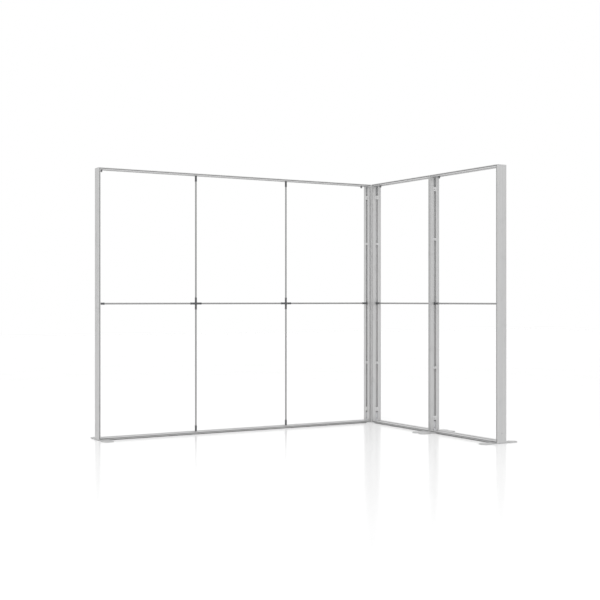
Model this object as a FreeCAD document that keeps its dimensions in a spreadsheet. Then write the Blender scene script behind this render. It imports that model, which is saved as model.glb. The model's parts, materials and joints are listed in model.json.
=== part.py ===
"""Modular exhibition stand: three aluminium frames set as an L, with their joining hardware."""
import FreeCAD, Part
import Sketcher
import os

# Driving dimensions in millimetres, with what each one sizes
SIZES = {
    "frame_height": (2500, "height of every frame"),
    "back_length": (3000, "length of the back frame"),
    "side_length": (1000, "length of each side frame"),
    "profile_depth": (106, "depth of the frame profile, front to back"),
    "profile_thickness": (17, "thickness of the frame profile, outer face to inner face"),
    "profile_wall": (1.8, "wall round the profile's chambers"),
    "outer_wall": (2.2, "wall between those chambers and the profile's outer face"),
    "slot_width": (26, "mouth of the slot along the profile's inner face"),
    "slot_web": (3, "metal left behind the slot"),
    "groove_width": (4, "groove for the edge of a fabric, along the middle of the front and back edges"),
    "groove_depth": (13, "depth of the fabric groove"),
    "edge_hole": (10, "hole in a top rail's front edge, beside a post that is locked to its neighbour"),
    "edge_hole_end": (24, "that hole, from the frame's end"),
    "edge_hole_top": (11, "that hole, from the frame's top"),
    "corner_reveal": (16, "strip of the corner post that shows between the two walls"),
    "corner_wall": (2.5, "wall of the hollow corner post"),
    "cap_thickness": (3, "flange of a corner post cap"),
    "plug_depth": (12, "plug of a corner post cap"),
    "plug_clearance": (0.2, "gap between the plug and the corner post, each side"),
    "cap_screw_spacing": (50, "distance between the two screws in the base cap"),
    "foot_length": (420, "foot plate, along the depth of the wall"),
    "foot_width": (100, "foot plate, along the length of the wall"),
    "foot_thickness": (6, "foot plates and corner base plate"),
    "corner_plate_reach": (50, "corner base plate's length under each frame"),
    "bracket_arm": (100, "corner bracket's arm, from the frame's outer corner"),
    "bracket_thickness": (11, "corner bracket's arms"),
    "bracket_gusset": (16, "gusset in the bracket's inside corner, along each arm"),
    "bracket_clearance": (0.5, "gap between a piece in the slot and the slot's side"),
    "near_hole": (24, "bracket's first hole, from the frame's outer corner"),
    "middle_hole": (42, "bracket's second hole, from the frame's outer corner"),
    "far_hole": (85, "bracket's last hole, from the frame's outer corner"),
    "screw_diameter": (8, "foot screws, thumb screws and set screws"),
    "screw_clearance": (0.1, "gap round a screw in a bracket or cap"),
    "passing_clearance": (0.5, "gap round a screw in a plate or web that it passes"),
    "foot_head_diameter": (14, "head of a foot screw"),
    "foot_head_height": (3, "height of that head"),
    "foot_head_recess": (0.3, "depth of that head above the floor"),
    "thumb_neck_diameter": (12, "neck of a thumb screw"),
    "thumb_head_diameter": (20, "knob of a thumb screw"),
    "thumb_head_height": (20, "height of that knob"),
    "set_screw_bite": (2, "set screw's reach into the hole in a post's web"),
    "set_screw_hole": (10, "diameter of that hole"),
    "key_size": (4, "hexagon in a set screw, across its corners"),
    "tube_diameter": (16, "stabiliser tubes"),
    "tube_wall": (1.2, "wall of a stabiliser tube"),
    "tube_insert": (45, "length of tube inside a socket or a cross connector"),
    "tube_clearance": (0.1, "gap round a tube in its sleeve"),
    "sleeve_wall": (2, "wall of a socket or a cross connector"),
    "socket_reach": (55, "socket's length beyond the profile's inner face"),
    "socket_base": (4, "socket's foot in the slot"),
    "cross_reach": (57, "cross connector's arm, from its centre"),
    "lock_end_distance": (136, "outer locks, from the frame's top or bottom"),
    "lock_inner_distance": (625, "inner locks, from the frame's top or bottom"),
    "lock_plate_width": (40, "lock plate, across the slot"),
    "end_plate_height": (40, "lock plate of an outer lock"),
    "inner_plate_height": (24, "lock plate of an inner lock"),
    "lock_plate_thickness": (3, "both lock plates"),
    "lock_shaft_diameter": (10, "shaft of a quarter-turn lock, and its cross head's width"),
    "lock_running_clearance": (0.05, "gap round the shaft in the lock plate"),
    "lock_passage": (0.3, "gap round the shaft and the cross head in the webs"),
    "lock_head_clearance": (2, "gap between the cross head's end and the slot's side"),
    "lock_head_thickness": (5, "cross head of a lock"),
    "lock_face_gap": (0.1, "gap under a lock's knob and its cross head"),
    "lock_knob_diameter": (22, "knob of a lock"),
    "lock_knob_height": (5, "height of that knob"),
    "lock_grip_width": (6, "grip bar on the knob"),
    "lock_grip_height": (6, "height of that bar"),
}

doc = FreeCAD.newDocument("exhibition_stand")
sheet = doc.addObject("Spreadsheet::Sheet", "Dims")
for row, (alias, (size, meaning)) in enumerate(SIZES.items(), start=1):
    sheet.set(f"A{row}", str(size))
    sheet.setAlias(f"A{row}", alias)
    sheet.set(f"B{row}", meaning)
doc.recompute()


class Dims:
    """Gives each driving dimension's name in the sheet, for use in an expression."""

    def __getattr__(self, alias):
        if alias not in SIZES:
            raise AttributeError(alias)
        return f"Dims.{alias}"


D = Dims()

# Sizes that follow from the driving dimensions
SLOT_DEPTH = f"({D.profile_thickness} - {D.slot_web})"
MID_DEPTH = f"({D.profile_depth} / 2)"
FLOOR_GAP = D.foot_thickness
MID_HEIGHT = f"({FLOOR_GAP} + {D.frame_height} / 2)"
TOP = f"({FLOOR_GAP} + {D.frame_height})"
CORNER_DEPTH = f"({D.profile_depth} + {D.corner_reveal})"
SLOT_PIECE = f"({D.slot_width} - 2 * {D.bracket_clearance})"
SCREW_RADIUS = f"({D.screw_diameter} / 2)"
TAPPED_RADIUS = f"({SCREW_RADIUS} + {D.screw_clearance})"
PASSING_RADIUS = f"({SCREW_RADIUS} + {D.passing_clearance})"
TUBE_RADIUS = f"({D.tube_diameter} / 2)"
BORE_RADIUS = f"({TUBE_RADIUS} + {D.tube_clearance})"
SLEEVE_RADIUS = f"({BORE_RADIUS} + {D.sleeve_wall})"
SOCKET_LENGTH = f"({SLOT_DEPTH} + {D.socket_reach})"
LOCK_HEAD_LENGTH = f"({D.slot_width} - 2 * {D.lock_head_clearance})"
LOCK_PASS_HEIGHT = f"({LOCK_HEAD_LENGTH} + 2 * {D.lock_passage})"
LOCK_PASS_WIDTH = f"({D.lock_shaft_diameter} + 2 * {D.lock_passage})"
GROOVE_SIDES = [f"(({D.profile_thickness} {sign} {D.groove_width}) / 2)" for sign in "-+"]
# The origin lies on the floor, at the middle of the stand's outer box
ORIGIN_X = f"(({D.back_length} + {MID_DEPTH} + {D.foot_length} / 2) / 2)"
ORIGIN_Y = f"((({MID_DEPTH} + {D.foot_length} / 2) - ({D.corner_reveal} + 2 * {D.side_length})) / 2)"

X_AXIS = FreeCAD.Vector(1, 0, 0)
Y_AXIS = FreeCAD.Vector(0, 1, 0)
Z_AXIS = FreeCAD.Vector(0, 0, 1)
NO_TURN = FreeCAD.Rotation()


def axes(x_axis, y_axis, z_axis):
    """Rotation that carries a piece's own axes to the given ones."""
    return FreeCAD.Rotation(x_axis, y_axis, z_axis, "XYZ")


# A frame's own directions: along its length, across its depth, and up
ALONG = axes(Y_AXIS, Z_AXIS, X_AXIS)
AGAINST = axes(-Y_AXIS, Z_AXIS, -X_AXIS)
UPWARD = NO_TURN
DOWNWARD = FreeCAD.Rotation(X_AXIS, 180)


class Frame:
    """One rectangular frame: its name, its length and where its first outer corner stands."""

    def __init__(self, name, length, start_x, start_y, turned):
        self.name = name
        self.length = length
        self.start_x = start_x
        self.start_y = start_y
        self.turned = turned

    def place(self, piece, along, across, up, turn=NO_TURN):
        """Puts a piece at a point given along the frame, across its depth and above the floor."""
        if self.turned:
            x_place = f"{self.start_x} + {across}"
            y_place = f"{self.start_y} - ({along})"
            piece.Placement.Rotation = FreeCAD.Rotation(Z_AXIS, -90) * turn
        else:
            x_place = f"{self.start_x} + {along}"
            y_place = f"{self.start_y} + {across}"
            piece.Placement.Rotation = turn
        piece.setExpression("Placement.Base.x", x_place)
        piece.setExpression("Placement.Base.y", y_place)
        piece.setExpression("Placement.Base.z", up)
        return piece


CORNER_X = f"({D.back_length} - {ORIGIN_X})"
BACK = Frame("back", D.back_length, f"(0 - {ORIGIN_X})", f"(0 - {ORIGIN_Y})", False)
REAR_SIDE = Frame("rear_side", D.side_length, CORNER_X, f"(0 - {D.corner_reveal} - {ORIGIN_Y})", True)
FRONT_SIDE = Frame(
    "front_side",
    D.side_length,
    CORNER_X,
    f"(0 - {D.corner_reveal} - {D.side_length} - {ORIGIN_Y})",
    True,
)

# Every finished sub-part, in the order it is made
sub_parts = []


def keep(piece, label):
    """Names a finished sub-part and keeps it for export."""
    piece.Label = label
    sub_parts.append(piece)
    return piece


def value(expression):
    """Present value of an expression on the sheet, in millimetres."""
    return float(sheet.evalExpression(expression))


def box(name, length, width, height, x="0", y="0", z="0"):
    """Block of the given size, with its lowest corner at x, y, z."""
    piece = doc.addObject("Part::Box", name)
    for prop, expression in (("Length", length), ("Width", width), ("Height", height)):
        piece.setExpression(prop, expression)
    for axis_name, expression in (("x", x), ("y", y), ("z", z)):
        piece.setExpression(f"Placement.Base.{axis_name}", expression)
    return piece


def cylinder(name, radius, height, x="0", y="0", z="0", turn=NO_TURN):
    """Cylinder whose base is centred at x, y, z, standing up unless it is turned."""
    piece = doc.addObject("Part::Cylinder", name)
    piece.setExpression("Radius", radius)
    piece.setExpression("Height", height)
    piece.Placement.Rotation = turn
    for axis_name, expression in (("x", x), ("y", y), ("z", z)):
        piece.setExpression(f"Placement.Base.{axis_name}", expression)
    return piece


def fuse(name, pieces):
    """One solid from pieces that run into each other."""
    fused = doc.addObject("Part::MultiFuse", name)
    fused.Shapes = pieces
    fused.Refine = True
    return fused


def cut(name, base, tools):
    """Base with every tool taken out of it."""
    tool = doc.addObject("Part::Compound", f"{name}_tools")
    tool.Links = tools
    result = doc.addObject("Part::Cut", name)
    result.Base = base
    result.Tool = tool
    return result


def group(label, pieces):
    """Like pieces, each a separate solid, kept as one sub-part."""
    compound = doc.addObject("Part::Compound", label)
    compound.Links = pieces
    return keep(compound, label)


def sketch_on(body, role, name):
    """Empty sketch on one of the body's own origin planes."""
    sketch = body.newObject("Sketcher::SketchObject", name)
    origin_plane = next(feature for feature in body.Origin.OriginFeatures if feature.Role == role)
    sketch.AttachmentSupport = (origin_plane, [""])
    sketch.MapMode = "FlatFace"
    return sketch


def pin(sketch, direction, edge, point, expression):
    """Holds one coordinate of a sketch point at an expression, measured from the sketch's origin."""
    if expression == "0":
        axis_id = {"DistanceX": -2, "DistanceY": -1}[direction]
        sketch.addConstraint(Sketcher.Constraint("PointOnObject", edge, point, axis_id))
        return
    index = sketch.addConstraint(
        Sketcher.Constraint(direction, -1, 1, edge, point, value(expression)))
    sketch.setExpression(f"Constraints[{index}]", expression)


def draw_outline(sketch, corners):
    """Draws a closed outline of straight lines through corners given as pairs of expressions."""
    first = sketch.GeometryCount
    points = [FreeCAD.Vector(value(across), value(up), 0) for across, up in corners]
    following = points[1:] + points[:1]
    for start, end in zip(points, following):
        sketch.addGeometry(Part.LineSegment(start, end))
    for number, (across, up) in enumerate(corners):
        edge = first + number
        next_edge = first + (number + 1) % len(corners)
        sketch.addConstraint(Sketcher.Constraint("Coincident", edge, 2, next_edge, 1))
        pin(sketch, "DistanceX", edge, 1, across)
        pin(sketch, "DistanceY", edge, 1, up)


def draw_rectangle(sketch, across, up, width, height):
    """Draws a rectangle centred at across, up."""
    left, right = (f"({across} {sign} {width} / 2)" for sign in "-+")
    low, high = (f"({up} {sign} {height} / 2)" for sign in "-+")
    draw_outline(sketch, [(left, low), (right, low), (right, high), (left, high)])


def draw_circle(sketch, across, up, radius):
    """Draws a circle centred at across, up."""
    centre = FreeCAD.Vector(value(across), value(up), 0)
    circle = sketch.addGeometry(Part.Circle(centre, Z_AXIS, value(radius)))
    pin(sketch, "DistanceX", circle, 3, across)
    pin(sketch, "DistanceY", circle, 3, up)
    index = sketch.addConstraint(Sketcher.Constraint("Radius", circle, value(radius)))
    sketch.setExpression(f"Constraints[{index}]", radius)


def extrude(body, sketch, kind, length, backwards=False):
    """Adds a Pad or a Pocket of a sketch, along the sketch's normal or against it."""
    feature = body.newObject(f"PartDesign::{kind}", f"{sketch.Name}_{kind.lower()}")
    feature.Profile = sketch
    feature.setExpression("Length", length)
    feature.Reversed = backwards
    sketch.Visibility = False
    return feature


def profile_corners():
    """Outer outline of the frame profile: outer face on the first axis, slot in the inner face."""
    depth, thick = D.profile_depth, D.profile_thickness
    groove_low, groove_high = GROOVE_SIDES
    far_groove = f"({depth} - {D.groove_depth})"
    slot_left = f"(({depth} - {D.slot_width}) / 2)"
    slot_right = f"(({depth} + {D.slot_width}) / 2)"
    return [
        ("0", "0"), (depth, "0"),
        (depth, groove_low), (far_groove, groove_low), (far_groove, groove_high), (depth, groove_high),
        (depth, thick), (slot_right, thick),
        (slot_right, D.slot_web), (slot_left, D.slot_web),
        (slot_left, thick), ("0", thick),
        ("0", groove_high), (D.groove_depth, groove_high), (D.groove_depth, groove_low), ("0", groove_low),
    ]


def chamber_corners(mirrored):
    """Outline of the hollow beside the slot, which goes round the fabric groove."""
    wall, depth, floor = D.profile_wall, D.profile_depth, D.outer_wall
    shelf = f"({GROOVE_SIDES[0]} - {wall})"
    ledge = f"({GROOVE_SIDES[1]} + {wall})"
    step = f"({D.groove_depth} + {wall})"
    side = f"(({depth} - {D.slot_width}) / 2 - {wall})"
    roof = f"({D.profile_thickness} - {wall})"
    corners = [
        (wall, floor), (side, floor), (side, roof), (wall, roof),
        (wall, ledge), (step, ledge), (step, shelf), (wall, shelf),
    ]
    if mirrored:
        return [(f"({depth} - {across})", up) for across, up in corners]
    return corners


def member(label, length, round_holes=(), passages=(), edge_holes=()):
    """Length of frame profile, mitred at both ends, with holes in the web behind its slot and in one edge.

    round_holes are (distance from the lower end, radius), passages and edge_holes distances from that end.
    """
    body = doc.addObject("PartDesign::Body", label)
    section = sketch_on(body, "XY_Plane", f"{label}_section")
    draw_outline(section, profile_corners())
    for mirrored in (False, True):
        draw_outline(section, chamber_corners(mirrored))
    extrude(body, section, "Pad", length)
    thick = D.profile_thickness
    mitre = sketch_on(body, "YZ_Plane", f"{label}_mitre")
    draw_outline(mitre, [("0", "0"), (thick, "0"), (thick, thick)])
    draw_outline(mitre, [("0", length), (thick, length), (thick, f"({length} - {thick})")])
    extrude(body, mitre, "Pocket", D.profile_depth, backwards=True)
    if round_holes or passages:
        holes = sketch_on(body, "XZ_Plane", f"{label}_holes")
        for distance, radius in round_holes:
            draw_circle(holes, MID_DEPTH, distance, radius)
        for distance in passages:
            draw_rectangle(holes, MID_DEPTH, distance, LOCK_PASS_WIDTH, LOCK_PASS_HEIGHT)
        extrude(body, holes, "Pocket", D.slot_web)
    if edge_holes:
        edge = sketch_on(body, "YZ_Plane", f"{label}_edge_holes")
        edge.setExpression("AttachmentOffset.Base.z", D.profile_depth)
        for distance in edge_holes:
            draw_circle(edge, D.edge_hole_top, distance, f"({D.edge_hole} / 2)")
        extrude(body, edge, "Pocket", f"({D.groove_depth} + {D.profile_wall})")
    return keep(body, label)


# Heights of the locks above a frame's lower edge
LOCK_HEIGHTS = {
    "lowest": D.lock_end_distance,
    "lower": D.lock_inner_distance,
    "upper": f"({D.frame_height} - {D.lock_inner_distance})",
    "highest": f"({D.frame_height} - {D.lock_end_distance})",
}
SET_SCREW_HOLE = (D.far_hole, f"({D.set_screw_hole} / 2)")
# The end of each frame at which its own locks join it to its neighbour
LOCKED_END = {"back": "last", "rear_side": "first", "front_side": "first"}


def frame_members(frame, first_post, last_post, locked_posts, foot_holes):
    """The two posts and two rails of a frame, each with its outer face outwards."""
    for label, turn, along, across in (
        (first_post, axes(-Y_AXIS, X_AXIS, Z_AXIS), "0", D.profile_depth),
        (last_post, axes(Y_AXIS, -X_AXIS, Z_AXIS), frame.length, "0"),
    ):
        passages = list(LOCK_HEIGHTS.values()) if label in locked_posts else ()
        post = member(f"{frame.name}_{label}", D.frame_height, [SET_SCREW_HOLE], passages)
        frame.place(post, along, across, FLOOR_GAP, turn)
    screw_holes = [(distance, PASSING_RADIUS) for distance in foot_holes]
    bottom = member(f"{frame.name}_bottom_rail", frame.length, screw_holes)
    frame.place(bottom, "0", "0", FLOOR_GAP, ALONG)
    at_last_end = LOCKED_END[frame.name] == "last"
    edge_hole = from_end(frame, D.edge_hole_end) if at_last_end else D.edge_hole_end
    top = member(f"{frame.name}_top_rail", frame.length, edge_holes=[edge_hole])
    frame.place(top, "0", D.profile_depth, TOP, axes(-Y_AXIS, -Z_AXIS, X_AXIS))


def from_end(frame, distance):
    """Distance from a frame's far end, as a place along the frame."""
    return f"({frame.length} - {distance})"


frame_members(
    BACK, "left_post", "right_post", ("right_post",),
    [D.near_hole, D.middle_hole, from_end(BACK, D.near_hole)],
)
frame_members(
    REAR_SIDE, "back_post", "front_post", ("back_post", "front_post"),
    [D.near_hole, from_end(REAR_SIDE, D.middle_hole), from_end(REAR_SIDE, D.near_hole)],
)
frame_members(
    FRONT_SIDE, "back_post", "front_post", ("back_post",),
    [D.near_hole, D.middle_hole, from_end(FRONT_SIDE, D.middle_hole), from_end(FRONT_SIDE, D.near_hole)],
)


def corner_post():
    """Hollow post outside the corner, with passages for the locks of both walls."""
    label = "corner_post"
    body = doc.addObject("PartDesign::Body", label)
    width, depth, wall = D.profile_depth, CORNER_DEPTH, D.corner_wall
    height = f"({D.frame_height} - 2 * {D.cap_thickness})"
    section = sketch_on(body, "XY_Plane", f"{label}_section")
    middle = (f"({width} / 2)", f"({depth} / 2)")
    draw_rectangle(section, *middle, width, depth)
    draw_rectangle(section, *middle, f"({width} - 2 * {wall})", f"({depth} - 2 * {wall})")
    extrude(body, section, "Pad", height)
    back_side = sketch_on(body, "YZ_Plane", f"{label}_back_passages")
    near_side = sketch_on(body, "XZ_Plane", f"{label}_side_passages")
    back_middle = f"({D.corner_reveal} + {MID_DEPTH})"
    for lock_height in LOCK_HEIGHTS.values():
        up = f"({lock_height} - {D.cap_thickness})"
        draw_rectangle(back_side, back_middle, up, LOCK_PASS_WIDTH, LOCK_PASS_HEIGHT)
        draw_rectangle(near_side, MID_DEPTH, up, LOCK_PASS_WIDTH, LOCK_PASS_HEIGHT)
    extrude(body, back_side, "Pocket", wall, backwards=True)
    extrude(body, near_side, "Pocket", wall)
    return keep(body, label)


def corner_cap(label, tools=()):
    """Cap of the corner post: a flange with a plug that stands up from it."""
    width, depth = D.profile_depth, CORNER_DEPTH
    inset = f"({D.corner_wall} + {D.plug_clearance})"
    flange = box(f"{label}_flange", width, depth, D.cap_thickness)
    plug = box(
        f"{label}_plug",
        f"({width} - 2 * {inset})", f"({depth} - 2 * {inset})", f"({D.cap_thickness} + {D.plug_depth})",
        inset, inset,
    )
    cap = fuse(f"{label}_solid", [flange, plug])
    if tools:
        cap = cut(f"{label}_bored", cap, list(tools))
    return keep(cap, label)


CAP_SCREWS = [f"({MID_DEPTH} {sign} {D.cap_screw_spacing} / 2)" for sign in "-+"]
BACK.place(corner_post(), BACK.length, f"(0 - {D.corner_reveal})", f"({FLOOR_GAP} + {D.cap_thickness})")
base_cap_bores = [
    cylinder(
        f"base_cap_bore_{number}", TAPPED_RADIUS, f"({D.cap_thickness} + {D.plug_depth})",
        across, f"({D.corner_reveal} + {MID_DEPTH})",
    )
    for number, across in enumerate(CAP_SCREWS)
]
BACK.place(
    corner_cap("corner_base_cap", base_cap_bores),
    BACK.length, f"(0 - {D.corner_reveal})", FLOOR_GAP,
)
BACK.place(corner_cap("corner_top_cap"), BACK.length, D.profile_depth, TOP, DOWNWARD)


def bracket(name):
    """Angle with two equal arms, along X and up Z, a gusset between them and three tapped holes in each."""
    body = doc.addObject("PartDesign::Body", name)
    arm = f"({D.bracket_arm} - {D.slot_web})"
    thick = D.bracket_thickness
    brace = f"({thick} + {D.bracket_gusset})"
    side = sketch_on(body, "XZ_Plane", f"{name}_side")
    draw_outline(side, [
        ("0", "0"), (arm, "0"), (arm, thick), (brace, thick),
        (thick, brace), (thick, arm), ("0", arm),
    ])
    extrude(body, side, "Pad", SLOT_PIECE, backwards=True)
    lying = sketch_on(body, "XY_Plane", f"{name}_lying_holes")
    standing = sketch_on(body, "YZ_Plane", f"{name}_standing_holes")
    for hole in (D.near_hole, D.middle_hole, D.far_hole):
        distance = f"({hole} - {D.slot_web})"
        draw_circle(lying, distance, f"({SLOT_PIECE} / 2)", TAPPED_RADIUS)
        draw_circle(standing, f"({SLOT_PIECE} / 2)", distance, TAPPED_RADIUS)
    extrude(body, lying, "Pocket", thick, backwards=True)
    extrude(body, standing, "Pocket", thick, backwards=True)
    return body


def set_screw(name):
    """Headless screw along Z, tip down, with a hexagon in its upper end."""
    length = f"({D.bracket_thickness} + {D.set_screw_bite})"
    shank = cylinder(f"{name}_shank", SCREW_RADIUS, length)
    hexagon = doc.addObject("Part::Prism", f"{name}_hexagon")
    hexagon.Polygon = 6
    hexagon.setExpression("Circumradius", f"{D.key_size} / 2")
    hexagon.setExpression("Height", D.bracket_thickness)
    hexagon.setExpression("Placement.Base.z", D.set_screw_bite)
    return cut(name, shank, [hexagon])


def thumb_screw(name):
    """Screw with a knob, along Z with its tip down."""
    shank = cylinder(f"{name}_shank", SCREW_RADIUS, D.bracket_thickness)
    neck = cylinder(
        f"{name}_neck", f"({D.thumb_neck_diameter} / 2)", f"({SLOT_DEPTH} - {D.bracket_thickness})",
        z=D.bracket_thickness,
    )
    knob = cylinder(f"{name}_knob", f"({D.thumb_head_diameter} / 2)", D.thumb_head_height, z=SLOT_DEPTH)
    return fuse(name, [shank, neck, knob])


SLOT_SIDE = f"({MID_DEPTH} - {SLOT_PIECE} / 2)"
set_screws = []
thumb_screws = []
for frame in (BACK, REAR_SIDE, FRONT_SIDE):
    far_floor = from_end(frame, D.slot_web)
    low_floor = f"({FLOOR_GAP} + {D.slot_web})"
    high_floor = f"({TOP} - {D.slot_web})"
    for level, floor, turns in (
        ("bottom", low_floor, (0, -90)),
        ("top", high_floor, (90, 180)),
    ):
        brackets = []
        for end, along, inward, angle in (
            ("first", D.slot_web, ALONG, turns[0]),
            ("last", far_floor, AGAINST, turns[1]),
        ):
            name = f"{frame.name}_{level}_{end}"
            angle_piece = bracket(f"{name}_bracket")
            angle_turn = FreeCAD.Rotation(Y_AXIS, angle)
            brackets.append(frame.place(angle_piece, along, SLOT_SIDE, floor, angle_turn))
            # A bottom set screw reaches into the post's web, a top one bears on it
            bite = D.set_screw_bite if level == "bottom" else "0"
            tip = f"({D.slot_web} - {bite})"
            tip_along = tip if end == "first" else from_end(frame, tip)
            height = f"({FLOOR_GAP} + {D.far_hole})" if level == "bottom" else f"({TOP} - {D.far_hole})"
            screw = set_screw(f"{name}_set_screw")
            set_screws.append(frame.place(screw, tip_along, MID_DEPTH, height, inward))
            if level == "top":
                # Beside a post with locks the knob sits in the bracket's last hole
                hole = D.far_hole if end == LOCKED_END[frame.name] else D.middle_hole
                knob_along = hole if end == "first" else from_end(frame, hole)
                knob = thumb_screw(f"{name}_thumb_screw")
                thumb_screws.append(frame.place(knob, knob_along, MID_DEPTH, high_floor, DOWNWARD))
        group(f"{frame.name}_{level}_brackets", brackets)
group("bracket_set_screws", set_screws)
group("bracket_thumb_screws", thumb_screws)


def socket(name):
    """Sleeve that stands in a slot along Z and takes the end of a tube."""
    foot = box(
        f"{name}_foot", SLOT_PIECE, SLOT_PIECE, D.socket_base,
        f"(0 - {SLOT_PIECE} / 2)", f"(0 - {SLOT_PIECE} / 2)",
    )
    sleeve = cylinder(f"{name}_sleeve", SLEEVE_RADIUS, SOCKET_LENGTH)
    bore = cylinder(f"{name}_bore", BORE_RADIUS, D.tube_insert, z=f"({SOCKET_LENGTH} - {D.tube_insert})")
    return cut(name, fuse(f"{name}_solid", [foot, sleeve]), [bore])


def tube(label, length):
    """Stabiliser tube along Z."""
    outside = cylinder(f"{label}_outside", TUBE_RADIUS, length)
    inside = cylinder(f"{label}_inside", f"({TUBE_RADIUS} - {D.tube_wall})", length)
    return keep(cut(f"{label}_solid", outside, [inside]), label)


def cross_connector(label):
    """Four sleeves that meet at a solid centre, along X and up Z."""
    length = f"(2 * {D.cross_reach})"
    start = f"(0 - {D.cross_reach})"
    blind = f"({D.cross_reach} - {D.tube_insert})"
    sleeves = [
        cylinder(f"{label}_level_sleeve", SLEEVE_RADIUS, length, x=start, turn=ALONG),
        cylinder(f"{label}_upright_sleeve", SLEEVE_RADIUS, length, z=start),
    ]
    bores = [
        cylinder(f"{label}_bore_along", BORE_RADIUS, D.tube_insert, x=blind, turn=ALONG),
        cylinder(f"{label}_bore_against", BORE_RADIUS, D.tube_insert, x=start, turn=ALONG),
        cylinder(f"{label}_bore_up", BORE_RADIUS, D.tube_insert, z=blind),
        cylinder(f"{label}_bore_down", BORE_RADIUS, D.tube_insert, z=start),
    ]
    return keep(cut(f"{label}_solid", fuse(f"{label}_sleeves", sleeves), bores), label)


# A tube starts this far from the outer face of the frame, or from a cross connector's centre
TUBE_IN_SOCKET = f"({D.slot_web} + {SOCKET_LENGTH} - {D.tube_insert})"
TUBE_IN_CROSS = f"({D.cross_reach} - {D.tube_insert})"


def level_sockets(frame):
    """The two sockets that hold a frame's level tube at mid height."""
    first = frame.place(socket(f"{frame.name}_first_socket"), D.slot_web, MID_DEPTH, MID_HEIGHT, ALONG)
    last = socket(f"{frame.name}_last_socket")
    return [first, frame.place(last, from_end(frame, D.slot_web), MID_DEPTH, MID_HEIGHT, AGAINST)]


def back_stabilisers():
    """Two uprights and a level line of tubes in the back frame, joined by cross connectors."""
    columns = {"left": f"({BACK.length} / 3)", "right": f"(2 * {BACK.length} / 3)"}
    sockets = level_sockets(BACK)
    upright = f"({D.frame_height} / 2 - {TUBE_IN_SOCKET} - {TUBE_IN_CROSS})"
    for side, column in columns.items():
        BACK.place(cross_connector(f"back_{side}_cross_connector"), column, MID_DEPTH, MID_HEIGHT)
        for level, floor, turn, start in (
            ("lower", f"({FLOOR_GAP} + {D.slot_web})", UPWARD, f"({FLOOR_GAP} + {TUBE_IN_SOCKET})"),
            ("upper", f"({TOP} - {D.slot_web})", DOWNWARD, f"({MID_HEIGHT} + {TUBE_IN_CROSS})"),
        ):
            holder = socket(f"back_{side}_{level}_socket")
            sockets.append(BACK.place(holder, column, MID_DEPTH, floor, turn))
            BACK.place(tube(f"back_{side}_{level}_tube", upright), column, MID_DEPTH, start)
    outer_bay = f"({BACK.length} / 3 - {TUBE_IN_SOCKET} - {TUBE_IN_CROSS})"
    middle_bay = f"({BACK.length} / 3 - 2 * {TUBE_IN_CROSS})"
    for label, length, start in (
        ("back_left_level_tube", outer_bay, TUBE_IN_SOCKET),
        ("back_middle_level_tube", middle_bay, f"({columns['left']} + {TUBE_IN_CROSS})"),
        ("back_right_level_tube", outer_bay, f"({columns['right']} + {TUBE_IN_CROSS})"),
    ):
        BACK.place(tube(label, length), start, MID_DEPTH, MID_HEIGHT, ALONG)
    group("back_tube_sockets", sockets)


back_stabilisers()
for frame in (REAR_SIDE, FRONT_SIDE):
    side_tube = tube(f"{frame.name}_level_tube", f"({frame.length} - 2 * {TUBE_IN_SOCKET})")
    frame.place(side_tube, TUBE_IN_SOCKET, MID_DEPTH, MID_HEIGHT, ALONG)
    group(f"{frame.name}_tube_sockets", level_sockets(frame))


def screw_bore(name, x, y):
    """Stepped bore through a floor plate, for a foot screw from below."""
    head_room = f"({D.foot_head_recess} + {D.foot_head_height})"
    head_radius = f"({D.foot_head_diameter} / 2 + {D.passing_clearance})"
    head = cylinder(f"{name}_head_bore", head_radius, head_room, x, y)
    return fuse(name, [head, cylinder(f"{name}_shank_bore", PASSING_RADIUS, D.foot_thickness, x, y)])


def foot_screw(name):
    """Screw with a low head that stands on it, up through a floor plate and a rail into a bracket."""
    head = cylinder(f"{name}_head", f"({D.foot_head_diameter} / 2)", D.foot_head_height)
    length = f"({D.foot_thickness} - {D.foot_head_recess} + {D.slot_web} + {D.bracket_thickness})"
    return fuse(name, [head, cylinder(f"{name}_shank", SCREW_RADIUS, length)])


foot_screws = []


def add_foot_screw(frame, along, across=MID_DEPTH):
    """Puts a foot screw at a place along a frame."""
    screw = foot_screw(f"foot_screw_{len(foot_screws) + 1}")
    foot_screws.append(frame.place(screw, along, across, D.foot_head_recess))


def foot_plate(label, frame, at_far_end):
    """Foot plate with round ends, flush with one end of a frame, and its two screws."""
    width, length, thick = D.foot_width, D.foot_length, D.foot_thickness
    straight = box(f"{label}_middle", width, f"({length} - {width})", thick, y=f"({width} / 2)")
    ends = [
        cylinder(f"{label}_end_{number}", f"({width} / 2)", thick, f"({width} / 2)", centre)
        for number, centre in enumerate((f"({width} / 2)", f"({length} - {width} / 2)"))
    ]
    holes = [D.near_hole, D.middle_hole]
    across = [f"({width} - {hole})" if at_far_end else hole for hole in holes]
    bores = [
        screw_bore(f"{label}_bore_{number}", place, f"({length} / 2)")
        for number, place in enumerate(across)
    ]
    plate = keep(cut(f"{label}_solid", fuse(f"{label}_outline", [straight] + ends), bores), label)
    start = from_end(frame, width) if at_far_end else "0"
    frame.place(plate, start, f"({MID_DEPTH} - {length} / 2)", "0")
    for hole in holes:
        add_foot_screw(frame, from_end(frame, hole) if at_far_end else hole)


foot_plate("back_left_foot_plate", BACK, at_far_end=False)
foot_plate("rear_side_front_foot_plate", REAR_SIDE, at_far_end=True)
foot_plate("front_side_back_foot_plate", FRONT_SIDE, at_far_end=False)
foot_plate("front_side_front_foot_plate", FRONT_SIDE, at_far_end=True)


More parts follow.
